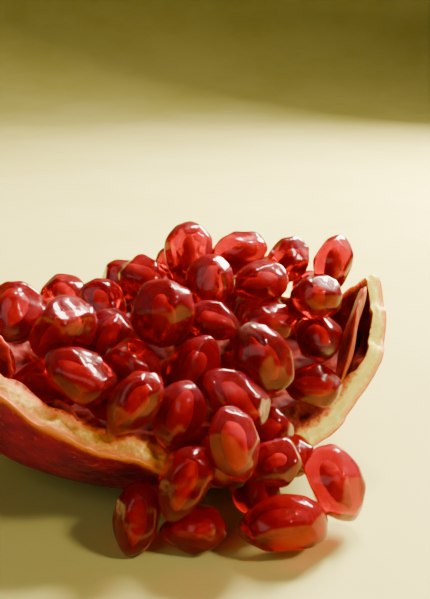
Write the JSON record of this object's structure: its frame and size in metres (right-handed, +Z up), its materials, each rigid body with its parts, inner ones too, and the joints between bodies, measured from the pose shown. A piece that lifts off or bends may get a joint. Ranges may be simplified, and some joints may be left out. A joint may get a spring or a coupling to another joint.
{
  "type": "open pomegranate",
  "caption": "Broken-open pomegranate: a boat-shaped piece of rind lying on its skin, heaped with faceted arils that spill over its low front rim.",
  "frame": {"origin": "centre of the small flat on the rind's skin that the piece rests on", "axes": "+Z up, away from the surface it lies on; -Y towards the low front rim, where the arils spill out; +X towards the pointed end of the rind"},
  "size_m": [0.0675, 0.0541, 0.0337],
  "materials": {
    "rind": "thin waxy skin, dark red with an ochre blush, over cream pith",
    "aril": "clear ruby jelly, wet and glossy"
  },
  "bodies": {
    "root": {"rind": "rind", "aril_01": "aril", "aril_02": "aril", "aril_03": "aril", "aril_04": "aril", "aril_05": "aril", "aril_06": "aril", "aril_07": "aril", "aril_08": "aril", "aril_09": "aril", "aril_10": "aril", "aril_11": "aril", "aril_12": "aril", "aril_13": "aril", "aril_14": "aril", "aril_15": "aril", "aril_16": "aril", "aril_17": "aril", "aril_18": "aril", "aril_19": "aril", "aril_20": "aril", "aril_21": "aril", "aril_22": "aril", "aril_23": "aril", "aril_24": "aril", "aril_25": "aril", "aril_26": "aril", "aril_27": "aril", "aril_28": "aril", "aril_29": "aril", "aril_30": "aril", "aril_31": "aril", "aril_32": "aril", "aril_33": "aril", "aril_34": "aril", "aril_35": "aril", "aril_36": "aril", "aril_37": "aril", "aril_38": "aril", "aril_39": "aril", "aril_40": "aril", "aril_41": "aril", "aril_42": "aril", "aril_43": "aril", "aril_44": "aril", "aril_45": "aril", "aril_46": "aril", "aril_47": "aril", "aril_48": "aril", "aril_49": "aril", "aril_50": "aril", "aril_51": "aril", "aril_52": "aril", "aril_53": "aril", "aril_54": "aril", "aril_55": "aril", "aril_56": "aril", "aril_57": "aril", "aril_58": "aril", "aril_59": "aril"}
  },
  "joints": []
}
